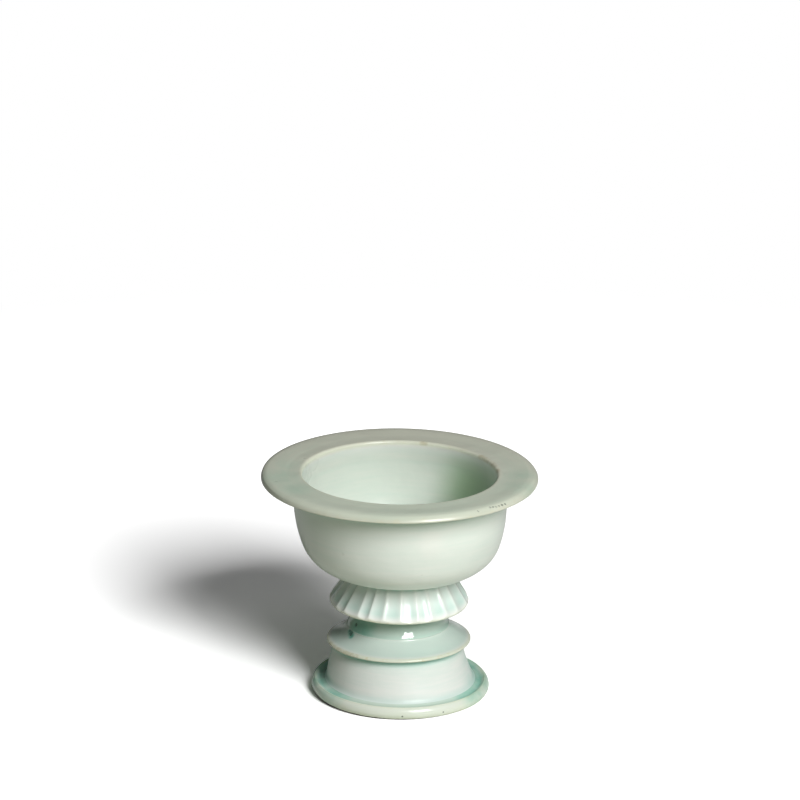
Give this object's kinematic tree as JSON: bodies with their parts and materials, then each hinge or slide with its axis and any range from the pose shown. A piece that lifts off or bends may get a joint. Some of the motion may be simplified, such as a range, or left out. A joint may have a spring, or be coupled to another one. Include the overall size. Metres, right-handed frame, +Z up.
{
  "type": "footed censer",
  "caption": "Footed censer with a broad flat rim, deep rounded bowl, fluted collar, short neck, sloping disc tier and hollow drum foot with an upturned lip.",
  "frame": {"origin": "centre of the foot ring on the surface it stands on", "axes": "+Z up along the wheel's axis of symmetry; the picture looks along +Y, with +X to the right"},
  "size_m": [0.122, 0.122, 0.1018],
  "materials": {
    "qingbai_glaze": "glossy pale blue-green glaze over white porcelain, deeper where it pools",
    "luting_slip": "matt fired clay"
  },
  "bodies": {
    "root": {"rim_flange": "qingbai_glaze", "bowl": "qingbai_glaze", "fluted_collar": "qingbai_glaze", "stem_neck": "qingbai_glaze", "stem_disc": "qingbai_glaze", "foot_drum": "qingbai_glaze", "foot_flange": "qingbai_glaze", "rim_slip": "luting_slip", "bowl_slip": "luting_slip", "collar_slip": "luting_slip", "neck_slip": "luting_slip", "disc_slip": "luting_slip", "foot_slip": "luting_slip"}
  },
  "joints": []
}
